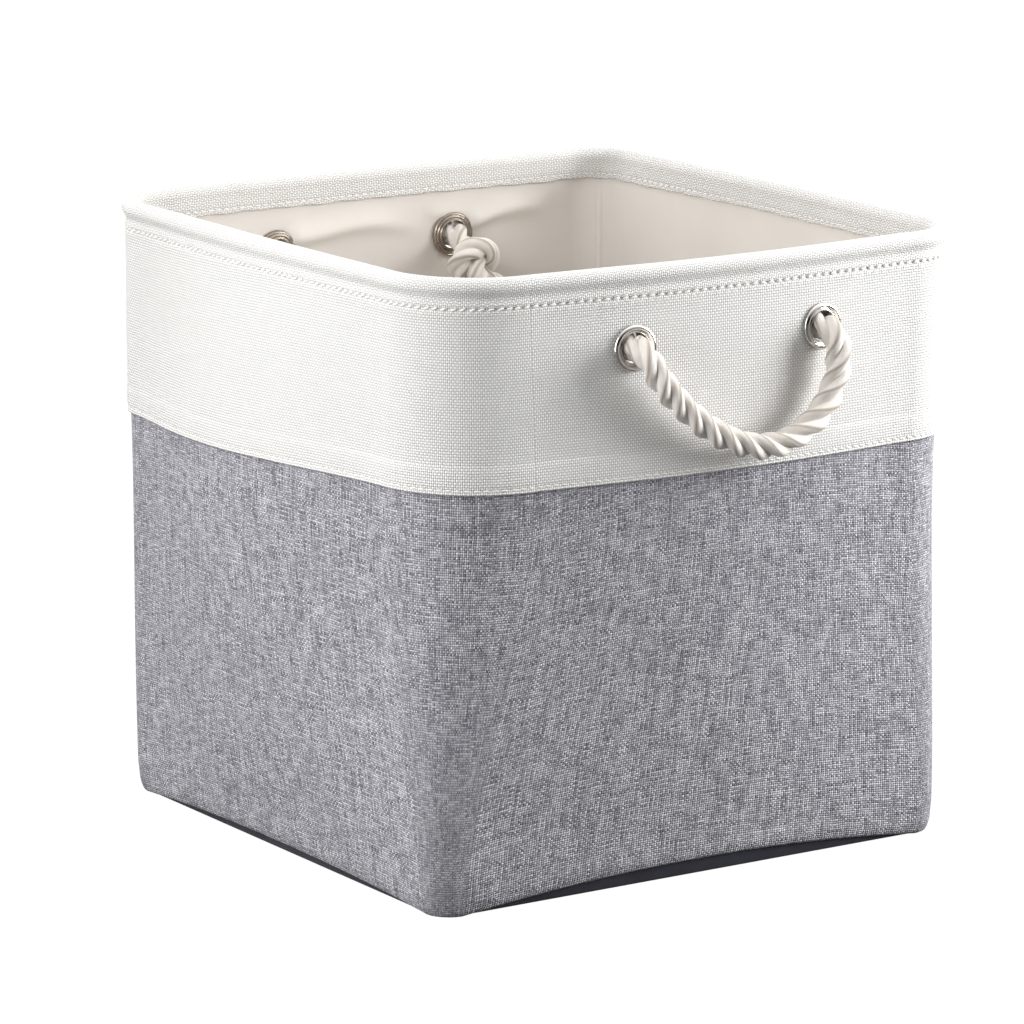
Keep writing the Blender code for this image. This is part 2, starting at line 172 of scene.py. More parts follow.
def wall_frame(side, along, z):
    """A place on a wall by its distance from the middle: the point and the outward and sideways
    directions."""

    def at(distance, height):
        up = height / HEIGHT
        width = between(BASE_WIDTH, RIM_WIDTH, up)
        if side % 2:
            width = between(BASE_DEPTH, RIM_DEPTH, up)
        before, after = corner_radius((side - 1) % 4, height), corner_radius(side, height)
        place = (distance - before + width / 2) / (width - before - after)
        return skin((np.array([side]), np.array([place])), 0.0, height)[0]

    step = 0.001
    point = at(along, z)
    sideways = at(along + step, z) - at(along - step, z)
    upward = at(along, z + step) - at(along, z - step)
    out = np.cross(sideways, upward)
    return point, out / np.linalg.norm(out), sideways / np.linalg.norm(sideways)


def grommet_frame(side, sign):
    return wall_frame(side, HANDLE_SHIFT[side] + sign * GROMMET_X, GROMMET_Z)


# Meshes

def link(made):
    bpy.context.scene.collection.objects.link(made)
    return made


def mesh_object(name, points, faces, uvs=None, material=None):
    mesh = bpy.data.meshes.new(name)
    faces = [tuple(int(k) for k in face) for face in faces]
    mesh.from_pydata(np.asarray(points).tolist(), [], faces)
    if uvs is not None:
        layer = mesh.uv_layers.new(name="weave")
        layer.data.foreach_set("uv", np.asarray(uvs, np.float32).ravel())
    mesh.polygons.foreach_set("use_smooth", [True] * len(mesh.polygons))
    if material:
        mesh.materials.append(material)
    mesh.update()
    return link(bpy.data.objects.new(name, mesh))


def grid_object(name, rows, u, v, closed_u, closed_v, material, keep=None):
    """A mesh through rows of points. u, and each row of v, has a value for every column's two
    edges, so one more than a row that closes on itself."""
    rows = np.asarray(rows)
    n_rows, n = rows.shape[:2]
    index = np.arange(n_rows * n).reshape(n_rows, n)
    iu = np.arange(n if closed_u else n - 1)
    iv = np.arange(n_rows if closed_v else n_rows - 1)
    uu, vv = np.meshgrid(iu, iv)
    uu, vv = uu.ravel(), vv.ravel()
    next_u, next_v = (uu + 1) % n, (vv + 1) % n_rows
    quads = (index[vv, uu], index[vv, next_u], index[next_v, next_u], index[next_v, uu])
    faces = np.stack(quads, 1)
    u, v = np.asarray(u), np.asarray(v)
    if v.ndim == 1:
        v = np.repeat(v[:, None], len(u), 1)
    v_next = np.roll(v, -1, 0) if closed_v else v[1:]
    right = uu + 1
    corners = ((uu, v), (right, v), (right, v_next), (uu, v_next))
    uvs = np.stack([np.stack([u[at], values[vv, at]], 1) for at, values in corners], 1)
    if closed_u:
        a, b, c, d = (rows.reshape(-1, 3)[faces[:, k]] for k in range(4))
        volume = (np.cross(a, b) * c).sum() + (np.cross(a, c) * d).sum()
        if volume < 0:
            faces, uvs = faces[:, ::-1], uvs[:, ::-1]
    if keep is not None:
        centre = rows.reshape(-1, 3)[faces].mean(1)
        kept = keep(centre)
        faces, uvs = faces[kept], uvs[kept]
    return mesh_object(name, rows.reshape(-1, 3), faces, uvs.reshape(-1, 2), material)


def merge_points(made):
    """Joins the points that share a place, as at the closed ends of a tube."""
    source = bmesh.new()
    source.from_mesh(made.data)
    bmesh.ops.remove_doubles(source, verts=source.verts, dist=1e-7)
    source.to_mesh(made.data)
    source.free()


def clear_of_grommets(radius):
    """Keeps the faces that lie outside each grommet's hole."""
    reach = 0.03  # from the wall, so that a hole doesn't go on through the bin
    places = [grommet_frame(s, sign) for s in (0, 2) for sign in (-1, 1)]

    def keep(centre):
        kept = np.ones(len(centre), bool)
        for point, out, _ in places:
            offset = centre - point
            depth = offset @ out
            flat = np.linalg.norm(offset - depth[:, None] * out, axis=1)
            kept &= (flat > radius) | (np.abs(depth) > reach)
        return kept

    return keep


# Materials

class Nodes:
    """A node tree, with short names for the nodes that are used most."""

    def __init__(self, tree):
        self.tree = tree

    def node(self, kind, inputs=(), **settings):
        made = self.tree.nodes.new(kind)
        for key, value in settings.items():
            setattr(made, key, value)
        for key, value in dict(inputs).items():
            self.put(made.inputs[key], value)
        return made

    def put(self, socket, value):
        if isinstance(value, bpy.types.NodeSocket):
            self.tree.links.new(value, socket)
        else:
            socket.default_value = value

    def math(self, operation, *values):
        made = self.node("ShaderNodeMath", operation=operation)
        for k, value in enumerate(values):
            self.put(made.inputs[k], value)
        return made.outputs[0]

    def times(self, first, second):
        return self.math("MULTIPLY", first, second)

    def plus(self, first, second):
        return self.math("ADD", first, second)

    def minus(self, first, second):
        return self.math("SUBTRACT", first, second)

    def uv(self):
        made = self.node("ShaderNodeUVMap", uv_map="weave")
        split = self.node("ShaderNodeSeparateXYZ", {0: made.outputs["UV"]})
        return split.outputs[0], split.outputs[1]

    def vector(self, x, y, z=0.0):
        return self.node("ShaderNodeCombineXYZ", {0: x, 1: y, 2: z}).outputs[0]

    def place(self):
        return self.node("ShaderNodeTexCoord").outputs["Object"]

    def noise(self, vector, scale, detail=2.0, roughness=0.5):
        made = self.node(
            "ShaderNodeTexNoise",
            {"Vector": vector, "Scale": scale, "Detail": detail, "Roughness": roughness},
        )
        return made.outputs["Fac"]

    def white_noise(self, x, y, z):
        return self.node("ShaderNodeTexWhiteNoise", {"Vector": self.vector(x, y, z)}).outputs[0]

    def stretched_noise(self, u, v, along_u, along_v, detail, roughness=0.5):
        """Noise on the UV map with its own scale in each direction."""
        place = self.vector(self.times(u, along_u), self.times(v, along_v))
        return self.noise(place, 1.0, detail, roughness)

    def shade(self, colour, grey):
        """The colour, darkened by a grey from 0 to 1."""
        return self.mix(1.0, colour, self.vector(grey, grey, grey), "MULTIPLY")

    def remap(self, value, low, high, to_low, to_high):
        made = self.node(
            "ShaderNodeMapRange",
            {0: value, 1: low, 2: high, 3: to_low, 4: to_high},
            clamp=True,
        )
        return made.outputs[0]

    def mix(self, share, first, second, blend="MIX"):
        made = self.node("ShaderNodeMix", data_type="RGBA", blend_type=blend)
        self.put(made.inputs[0], share)
        for socket, value in ((made.inputs[6], first), (made.inputs[7], second)):
            self.put(socket, (*value, 1) if isinstance(value, tuple) else value)
        return made.outputs[2]


class Graph(Nodes):
    """A material's nodes, round the one shader."""

    def __init__(self, name, roughness, metallic=0.0, sheen=0.0):
        self.material = bpy.data.materials.new(name)
        self.material.use_nodes = True
        super().__init__(self.material.node_tree)
        self.shader = self.tree.nodes["Principled BSDF"]
        self.shader.inputs["Roughness"].default_value = roughness
        self.shader.inputs["Metallic"].default_value = metallic
        self.shader.inputs["Sheen Weight"].default_value = sheen
        self.shader.inputs["Sheen Roughness"].default_value = 0.5

    def finish(self, colour, height=None, distance=0.0003, strength=1.0, roughness=None):
        self.put(self.shader.inputs["Base Color"], colour)
        if height is not None:
            bump = self.node(
                "ShaderNodeBump", {"Height": height, "Distance": distance, "Strength": strength}
            )
            self.put(self.shader.inputs["Normal"], bump.outputs[0])
        if roughness is not None:
            self.put(self.shader.inputs["Roughness"], roughness)
        return self.material


def plain_weave(g, pitch_u, pitch_v, waver):
    """Heights and thread numbers of a plain weave on the UV map, which is in metres."""
    u, v = g.uv()
    wobble = g.noise(g.vector(u, v), 160.0, 1.0)
    wobble_2 = g.noise(g.vector(v, u, 3.1), 160.0, 1.0)
    u = g.plus(u, g.times(g.minus(wobble, 0.5), waver))
    v = g.plus(v, g.times(g.minus(wobble_2, 0.5), waver))
    u = g.math("DIVIDE", u, pitch_u)
    v = g.math("DIVIDE", v, pitch_v)
    column, row = g.math("FLOOR", u), g.math("FLOOR", v)
    across_u = g.math("SINE", g.times(g.math("FRACT", u), math.pi))
    across_v = g.math("SINE", g.times(g.math("FRACT", v), math.pi))
    odd = g.math("FLOORED_MODULO", g.plus(column, row), 2.0)
    sign = g.minus(1.0, g.times(odd, 2.0))
    lift = 0.55
    lifted_v = g.times(g.times(sign, across_v), lift)
    lifted_u = g.times(g.times(sign, across_u), lift)
    warp = g.plus(g.times(across_u, 1 - lift), lifted_v)
    weft = g.minus(g.times(across_v, 1 - lift), lifted_u)
    height = g.math("MAXIMUM", warp, weft)
    is_weft = g.math("GREATER_THAN", weft, warp)
    return u, v, column, row, height, is_weft


def canvas_material():
    """Light warp floats stand out in staggered dots over a lower, darker weft."""
    g = Graph("cream_canvas_weave", 0.85, sheen=0.05)
    u, v, column, row, height, is_weft = plain_weave(g, 0.00112, 0.00140, 0.0005)
    thread = g.noise(g.vector(column, g.times(v, 0.05)), 1.7, 1.0)
    thread_2 = g.noise(g.vector(row, g.times(u, 0.05), 9.0), 1.7, 1.0)
    tone = g.times(g.plus(thread, thread_2), 0.5)
    # Painted shade in the weave's gaps: the colour is darkened where the threads dip, from the
    # weave's height
    painted_weave_shading = g.remap(height, 0.15, 0.80, 0.54, 1.0)
    share = g.remap(tone, 0.3, 0.7, 0, 1)
    warp = g.mix(share, (0.90, 0.885, 0.865), (0.95, 0.935, 0.915))
    weft = g.mix(share, (0.72, 0.71, 0.69), (0.78, 0.77, 0.75))
    colour = g.shade(g.mix(is_weft, warp, weft), painted_weave_shading)
    height = g.minus(height, g.times(is_weft, 0.25))
    return g.finish(colour, height, 0.0005, 0.9)


def linen_material():
    """Yarns of mixed light and dark fibres, each of which changes its tone slowly as it goes."""
    g = Graph("grey_linen_weave", 0.92, sheen=0.05)
    u, v, column, row, height, is_weft = plain_weave(g, 0.00118, 0.00122, 0.0009)
    cell = g.white_noise(column, row, 1.0)
    own_warp = g.white_noise(column, 3.0, 0.0)
    own_weft = g.white_noise(row, 7.0, 0.0)
    warp_place = g.vector(g.times(own_warp, 900.0), g.times(v, 0.075))
    weft_place = g.vector(g.times(own_weft, 700.0), g.times(u, 0.13), 40.0)
    warp, weft = g.noise(warp_place, 1.0, 3.0), g.noise(weft_place, 1.0, 3.0)
    not_weft = g.minus(1.0, is_weft)
    yarn = g.plus(g.times(warp, not_weft), g.times(weft, is_weft))
    yarn = g.plus(yarn, g.times(g.minus(cell, 0.5), 0.09))
    yarn = g.minus(yarn, g.times(is_weft, 0.05))
    dark, middle, light = (0.12, 0.12, 0.143), (0.345, 0.34, 0.375), (0.635, 0.628, 0.67)
    lower = g.mix(g.remap(yarn, 0.28, 0.48, 0, 1), dark, middle)
    colour = g.mix(g.remap(yarn, 0.46, 0.68, 0, 1), lower, light)
    # Painted shade in the weave's gaps and a painted highlight on the raised threads, from the
    # weave's height
    painted_weave_shading = g.remap(height, 0.15, 0.8, 0.36, 1.12)
    colour = g.shade(colour, painted_weave_shading)
    return g.finish(colour, height, 0.0006, 0.9)


# The base cloth is real, but its near-black colour is a painted shadow under the linen's arched hem
def base_cloth_shadow_material():
    g = Graph("base_cloth_painted_shadow_weave", 0.9, sheen=0.05)
    height = plain_weave(g, 0.0006, 0.0006, 0.0003)[4]
    tone = g.noise(g.place(), 60.0, 4.0)
    colour = g.mix(g.remap(tone, 0.3, 0.7, 0, 1), (0.020, 0.021, 0.033), (0.036, 0.038, 0.055))
    return g.finish(colour, height, 0.0001, 0.5)


def lining_material():
    g = Graph("cream_cotton_lining_weave", 0.9, sheen=0.1)
    height = plain_weave(g, 0.00042, 0.00042, 0.0003)[4]
    tone = g.noise(g.place(), 18.0, 3.0)
    colour = g.mix(g.remap(tone, 0.3, 0.7, 0, 1), (0.72, 0.68, 0.632), (0.76, 0.72, 0.675))
    # Faint painted shade in the weave's gaps, from the weave's height
    fine = g.remap(height, 0.1, 0.8, 0.93, 1.0)
    colour = g.shade(colour, fine)
    return g.finish(colour, height, 0.0001, 0.3)


def rope_material():
    """Fibres run along each strand: the UV map's u goes round the rope and v along it."""
    g = Graph("twisted_cotton_rope", 0.88, sheen=0.15)
    u, v = g.uv()
    fibres = g.stretched_noise(u, v, 90.0, 260.0, 3.0, 0.6)
    fine = g.stretched_noise(u, v, 300.0, 900.0, 2.0, 0.6)
    patches = g.stretched_noise(u, v, 9.0, 90.0, 1.0)
    # The dark colour in the grooves between the strands is painted shade
    strand = g.math("FRACT", g.times(u, 3.0))
    lobe = g.math("ABSOLUTE", g.minus(strand, 0.5))
    painted_groove_shade = g.remap(lobe, 0.36, 0.5, 0.0, 1.0)
    light = g.mix(g.remap(fibres, 0.3, 0.7, 0, 1), (0.76, 0.70, 0.635), (0.86, 0.82, 0.77))
    light = g.mix(g.remap(patches, 0.35, 0.65, 0, 0.45), light, (0.87, 0.83, 0.80))
    colour = g.mix(painted_groove_shade, light, (0.40, 0.34, 0.28))
    height = g.plus(g.times(fibres, 0.7), g.times(fine, 0.3))
    return g.finish(colour, height, 0.0007, 0.8)


def thread_material():
    g = Graph("cream_sewing_thread", 0.75, sheen=0.1)
    tone = g.noise(g.place(), 900.0, 2.0)
    return g.finish(g.mix(tone, (0.80, 0.78, 0.72), (0.90, 0.88, 0.83)), tone, 0.0001, 0.5)


def metal_material(name, dark, light, rough):
    g = Graph(name, rough, metallic=1.0)
    marks = g.noise(g.place(), 700.0, 3.0, 0.6)
    cloud = g.noise(g.place(), 120.0, 2.0)
    colour = g.mix(g.remap(cloud, 0.3, 0.7, 0, 1), dark, light)
    return g.finish(colour, marks, 0.00002, 0.3, g.remap(marks, 0.3, 0.7, rough * 0.8, rough * 1.3))


def board_material():
    g = Graph("grey_pressed_board", 0.9)
    specks = g.noise(g.place(), 900.0, 4.0, 0.7)
    cloud = g.noise(g.place(), 30.0, 3.0)
    base = g.mix(cloud, (0.33, 0.31, 0.28), (0.42, 0.40, 0.37))
    colour = g.mix(g.remap(specks, 0.55, 0.75, 0, 0.5), base, (0.22, 0.20, 0.18))
    return g.finish(colour, specks, 0.0001, 0.4)


CANVAS, LINEN, BASE_CLOTH_SHADOW_DARK = canvas_material(), linen_material(), base_cloth_shadow_material()
LINING_CLOTH, ROPE, THREAD = lining_material(), rope_material(), thread_material()
NICKEL = metal_material("polished_nickel", (0.74, 0.72, 0.68), (0.80, 0.78, 0.75), 0.14)
DULL_NICKEL = metal_material("dull_nickel", (0.30, 0.26, 0.22), (0.38, 0.33, 0.28), 0.3)
STEEL = metal_material("drawn_steel_wire", (0.45, 0.45, 0.46), (0.55, 0.55, 0.56), 0.35)
BOARD = board_material()


# Camera

AZIMUTH, ELEVATION = math.radians(-33.16), math.radians(12.29)
DISTANCE, ASIDE, RAISED = 3.024, -0.0095, 0.0002
IMAGE_SIDE, FOCAL_PIXELS, SENSOR = 1024, 5673.7, 36.0


def add_camera():
    right = Vector((math.cos(AZIMUTH), math.sin(AZIMUTH), 0))
    back = Vector(
        (
            math.sin(AZIMUTH) * math.cos(ELEVATION),
            -math.cos(AZIMUTH) * math.cos(ELEVATION),
            math.sin(ELEVATION),
        )
    )
    up = back.cross(right)
    place = Vector((0, 0, HEIGHT / 2)) + back * DISTANCE + right * ASIDE + up * RAISED
    data = bpy.data.cameras.new("camera")
    data.sensor_width = SENSOR
    data.lens = FOCAL_PIXELS / IMAGE_SIDE * SENSOR
    data.clip_end = 100
    camera = link(bpy.data.objects.new("camera", data))
    turn = Matrix((right, up, back)).transposed().to_4x4()
    camera.matrix_world = Matrix.Translation(place) @ turn
    bpy.context.scene.camera = camera


add_camera()


# Cloth

# The stations of every cloth that goes round, how far round each is, and the whole distance
AROUND = stations_round(196, 54)
LENGTHS = around_length(AROUND)
ROUND = LENGTHS[-1]


def ripple(pitch, phase=0.0):
    """A wave of about that pitch round the bin, in whole periods."""
    count = round(ROUND / pitch)
    return np.sin(2 * np.pi * count * LENGTHS[:-1] / ROUND + phase)


def drift(seed, slow=1):
    """A slow uneven wave round the bin, from -1 to 1 or so."""
    turn = 2 * np.pi * LENGTHS[:-1] / ROUND
    rng = np.random.default_rng(seed)
    waves = []
    for n in (2, 3, 5, 8, 13, 21):
        waves.append(np.sin(n * slow * turn + rng.uniform(0, 6.28)) / n ** 0.5)
    return sum(waves) / 2.2


def hollow(distance, width):
    return np.exp(-((distance / width) ** 2))


def run_over(rows):
    """The mean distance over the rows, from the first to each."""
    steps = np.linalg.norm(np.diff(rows, axis=0), axis=2).mean(1)
    return np.concatenate([[0], np.cumsum(steps)])


def closed_cloth(name, rows, u, material):
    """A cloth whose first and last rows close on a point."""
    made = grid_object(name, rows, u, run_over(rows), True, False, material)
    merge_points(made)
    return made


def level_row(edge, share, z):
    """A closed row drawn in towards the middle, at one height."""
    row = edge * share
    row[:, 2] = z
    return row


def tube(name, profile, material, node, keep=None):
    """A cloth that goes all the way round. profile is its closed cross-section: (inset, z) rows."""
    count = len(AROUND[0])
    insets = np.array([np.broadcast_to(inset, count) for inset, _ in profile], float)
    heights = np.array([np.broadcast_to(z, count) for _, z in profile], float)
    rows = [skin(AROUND, inset, z) for inset, z in zip(insets, heights)]
    step = np.hypot(np.diff(insets, axis=0), np.diff(heights, axis=0))
    v = np.concatenate([np.zeros((1, count)), np.cumsum(step, 0)])
    v = np.concatenate([v, v[:, :1]], 1)
    made = grid_object(name, rows, LENGTHS, v, True, True, material, keep)
    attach(made, "bin")
    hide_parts(node)
    return made


def seam_stitches(name, inset, z, pitch, share, radius, slant=0.0, side=1):
    """A line of separate stitches round the bin. Each is a small thread that dips into the cloth
    at its ends, and fills this share of the pitch."""
    count = round(ROUND / pitch)
    t = np.array([0, 0.08, 0.25, 0.5, 0.75, 0.92, 1.0])
    thick = np.array([0.25, 0.7, 0.95, 1.0, 0.95, 0.7, 0.25])
    around, raised = 8, 0.5
    angle = np.arange(around) / around * 2 * np.pi
    line = skin(AROUND, inset, z)
    under = skin(AROUND, np.broadcast_to(inset, len(line)) + 0.001, z)
    out_line = line - under
    out_line[:, 2] = 0
    out_line = unit(out_line)
    line = np.concatenate([line, line[:1]])
    out_line = np.concatenate([out_line, out_line[:1]]) * side
    points, faces = [], []
    rng = np.random.default_rng(7)
    for k in range(count):
        middle = (k + 0.5 + rng.uniform(-0.06, 0.06)) * ROUND / count
        at = (middle + (t - 0.5) * pitch * share * rng.uniform(0.92, 1.06)) % ROUND
        centre = np.stack([np.interp(at, LENGTHS, line[:, n]) for n in range(3)], 1)
        out = np.stack([np.interp(at, LENGTHS, out_line[:, n]) for n in range(3)], 1)
        lift = radius * (raised * np.sin(np.pi * t) + (raised - 1) * 0.6)
        centre = centre + out * lift[:, None]
        centre[:, 2] += (t - 0.5) * slant + rng.uniform(-0.00008, 0.00008)
        along = unit(np.gradient(centre, axis=0))
        across = unit(np.cross(along, out))
        over = np.cross(across, along)
        sideways = np.cos(angle)[None, :, None] * across[:, None]
        upwards = np.sin(angle)[None, :, None] * over[:, None]
        ring = centre[:, None] + radius * thick[:, None, None] * (sideways + upwards)
        start = k * len(t) * around
        points.append(ring.reshape(-1, 3))
        for row in range(len(t) - 1):
            for c in range(around):
                a = start + row * around + c
                b = start + row * around + (c + 1) % around
                faces.append((a, b, b + around, a + around))
        faces.append(tuple(start + c for c in reversed(range(around))))
        faces.append(tuple(start + (len(t) - 1) * around + c for c in range(around)))
    made = mesh_object(name, np.concatenate(points), faces, None, THREAD)
    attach(made, "bin")
    return made


# The stitches' pitch along the hem and along the casing seam
HEM_STITCH, CASING_STITCH = 0.0047, 0.0050
# How far the hem's stitches are above its edge, and how high the seam shows on the facing
HEM_STITCH_UP, FACING_STITCH = 0.0028, 0.3122
HEM_DROP = 0.0055  # the band's hem hangs this much lower at the corner after the back wall
HEM_TOP = 0.0155  # how far the turned hem and the rows that follow its edge go up
BAND_BACK = 0.00115  # the inset of the band's hidden face


def hem_height():
    """The band's lower edge: it isn't cut quite level."""
    side, place = AROUND
    before = np.where(side == 2, np.clip(place, 0, 1), 0.0)
    after = np.where(side == 3, 1 - np.clip(place, 0, 1), 0.0)
    share = np.where((side == 2) & (place >= 1), 1.0, np.maximum(before, after))
    return BAND_HEM - HEM_DROP * smooth(share) ** 1.3 + 0.00025 * drift(3)


JOIN = (1, 1.5)  # the cloths are joined in the middle of the corner after the right wall


def join_distance():
    """How far round from the place where the cloths are joined."""
    side, place = AROUND
    there = np.flatnonzero((side == JOIN[0]) & (place >= JOIN[1]))[0]
    away = LENGTHS[:-1] - LENGTHS[there]
    return (away + ROUND / 2) % ROUND - ROUND / 2


def join_mark():
    """Two close lines of stitching where a cloth's ends overlap."""
    away = join_distance()
    return hollow(away - 0.0022, 0.0008) + hollow(away + 0.0022, 0.0008)


def make_canvas_band():
    """The cream cloth, up the outside, over the rim's wire and down the inside as a facing."""
    hem_z = hem_height()
    pull = ripple(HEM_STITCH)
    tuft = ripple(CASING_STITCH, 1.0)
    join = join_mark()
    rows = []
    # Outside, from the hem up to the casing seam
    near = (0.0, 0.0002, 0.0006, 0.0012, 0.0019, 0.0024, 0.0028, 0.0033, 0.0040, 0.0052, 0.0068)
    for up in (*near, 0.009, 0.0115, 0.0135, HEM_TOP):
        edge = 0.0010 * max(0, 1 - up / 0.0009) ** 2
        fold = 0.00055 * (1 - smooth((up - 0.0125) / 0.003))
        dent = hollow(up - HEM_STITCH_UP, 0.0011)
        wave = np.sin(2 * np.pi * (up / 0.006)) * pull
        pucker = 0.00013 * wave * hollow(up - HEM_STITCH_UP, 0.0035)
        inset = edge - fold * (up > 0.0002) + 0.00048 * dent * (0.75 + 0.25 * pull)
        rows.append((inset + pucker + 0.0002 * join, hem_z + up))
    seam, steps = CASING_SEAM, 29
    for k in range(1, steps + 1):
        z = between(BAND_HEM + HEM_TOP, seam - 0.005, k / steps)
        share = (z - BAND_HEM) / (seam - BAND_HEM)
        inset = 0.0002 * join + 0.00012 * drift(11) * np.sin(share * 7)
        rows.append((inset, between(hem_z + HEM_TOP, z, k / steps)))
    wander = 0.00030 * drift(5)
    below = (-0.0038, -0.0026, -0.0017, -0.0010, -0.0005)
    for away in (*below, 0.0, 0.0005, 0.0010, 0.0016, 0.0024, 0.0034):
        dent = hollow(away, 0.0009)
        lip = hollow(away - 0.0030, 0.0018) + 0.5 * hollow(away + 0.0026, 0.0014)
        inset = 0.0011 * dent * (0.6 + 0.4 * tuft) - 0.0003 * lip + 0.00022 * join
        inset = inset - 0.00028 * tuft * hollow(away + 0.0017, 0.0013)
        inset = inset + 0.0006 * smooth((away - 0.0010) / 0.0028)
        rows.append((inset, seam + away + wander * hollow(away, 0.006)))
    # Over the wire
    rows += [(0.0007 + 0.00022 * join, 0.3157), (0.0005 + 0.00022 * join, 0.3168)]
    thick = 1 + 0.03 * drift(8)
    for degrees in range(-30, 199, 9):
        angle = math.radians(degrees)
        radius = (ROLL_RADIUS + 0.0004) * thick
        inset = ROLL_INSET - radius * math.cos(angle) + 0.0002 * join
        rows.append((inset, ROLL_Z + radius * math.sin(angle)))
    # The facing, down to its wavy edge, with the casing seam's stitches seen from behind
    facing_z = FACING_HEM + 0.0006 * drift(9, 2) + 0.00025 * ripple(0.021)
    face = FACING_FACE
    for z in (0.3165, 0.3150, 0.3140, 0.3133, 0.3127, FACING_STITCH):
        dent = hollow(z - FACING_STITCH, 0.0009) * (0.75 + 0.25 * tuft)
        rows.append((face + 0.0002 - 0.0006 * dent - 0.0003 * join, z))
    for up in (0.0019, 0.0013, 0.0007, 0.0002):
        rows.append((face + 0.0003 + 0.0001 * tuft - 0.0003 * join, facing_z + up))
    rows += [(face - 0.0003, facing_z), (FACING_BACK + 0.0001, facing_z + 0.0002)]
    rows += [(FACING_BACK, 0.3115), (FACING_BACK, 0.313)]
    # The inner side of the fold, which nobody sees
    for degrees in (170, 130, 90, 50, 10):
        angle = math.radians(degrees)
        radius = ROLL_RADIUS - 0.001
        rows.append((ROLL_INSET - radius * math.cos(angle), ROLL_Z + radius * math.sin(angle)))
    rows += [(BAND_BACK, z) for z in (0.314, 0.311, 0.300, 0.285, 0.270, 0.250, 0.235, 0.222)]
    rows += [(BAND_BACK, hem_z + 0.0012), (0.0011, hem_z + 0.0003)]
    made = tube("canvas_band", rows, CANVAS, "cream_upper_band", clear_of_grommets(GROMMET_HOLE))
    hem_seam = hem_z + HEM_STITCH_UP
    hem = seam_stitches("hem_stitches", -0.0002, hem_seam, HEM_STITCH, 0.66, 0.00042)
    casing = seam_stitches(
        "casing_stitches", 0.0002, seam + wander, CASING_STITCH, 0.60, 0.00062, slant=0.0009
    )
    facing = seam_stitches(
        "facing_stitches", face + 0.0001, FACING_STITCH, CASING_STITCH, 0.66, 0.00045, side=-1
    )
    return made, [hem, casing, facing]


def make_linen_wall():
    """The grey cloth, from its arched and turned-in hem to behind the canvas band."""
    outside, inside, hem_top = 0.0013, 0.0022, 0.0110
    lift = hem_lift(AROUND) + 0.0002 * drift(21)
    join = join_mark()
    fold = ripple(0.0135, 0.4)
    hem_rows = (
        (0.0021, 0.0001),
        (0.0016, 0.0002),
        (0.0011, 0.0008),
        (0.0009, 0.0018),
        (0.0008, 0.0032),
        (0.0008, 0.0050),
        (0.0009, 0.0075),
        (0.0012, 0.0095),
        (outside, hem_top),
    )
    rows = []
    for inset, up in hem_rows:
        rows.append((inset + 0.00006 * fold * (up < 0.009) + 0.0001 * join, lift + up))
    for k in range(1, 52):
        z = between(hem_top, GREY_TOP, k / 51)
        rows.append((outside + 0.00018 * join, z + lift * (1 - k / 51) ** 2))
    rows.append((inside, rows[-1][1]))
    for k in range(1, 12):
        z = between(GREY_TOP, hem_top, k / 11)
        rows.append((inside, z + lift * (k / 11) ** 2))
    rows += [(0.0024, lift + 0.0095), (0.00245, lift + 0.004), (0.0024, lift + 0.0008)]
    made = tube("linen_wall", rows, LINEN, "grey_outer_wall")
    return made


def make_base_cloth():
    """Flat under the bin and turned up all round inside the linen's arched hem. Its near-black
    strip under the hem is a painted shadow.
    """
    outer, inner, bend, thick = 0.0027, 0.0033, 0.0016, 0.0006
    top = hem_lift(AROUND) + 0.014
    rim = (
        (outer + 0.0012, 0.0),
        (outer + 0.0004, 0.0002),
        (outer + 0.0001, 0.0007),
        (outer, bend),
    )
    edge = skin(AROUND, rim[0][0], 0.0)
    rows = [level_row(edge, k, 0.0) for k in (0.0, 0.02, 0.15, 0.3, 0.45, 0.6, 0.75, 0.88, 0.96)]
    rows += [skin(AROUND, inset, z) for inset, z in rim]
    for up in (0.15, 0.3, 0.45, 0.6, 0.8, 1.0):
        rows.append(skin(AROUND, outer, between(bend, top, up)))
    rows.append(skin(AROUND, inner, top))
    for up in (0.8, 0.5, 0.2):
        rows.append(skin(AROUND, inner, between(bend, top, up)))
    rows.append(skin(AROUND, inner + 0.0006, 0.0007))
    edge = skin(AROUND, inner + 0.0012, thick)
    rows += [level_row(edge, k, thick) for k in (0.96, 0.6, 0.3, 0.02, 0.0)]
    made = closed_cloth("base_cloth", rows, LENGTHS, BASE_CLOTH_SHADOW_DARK)
    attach(made, "bin")
    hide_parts("outer_base")
    return made


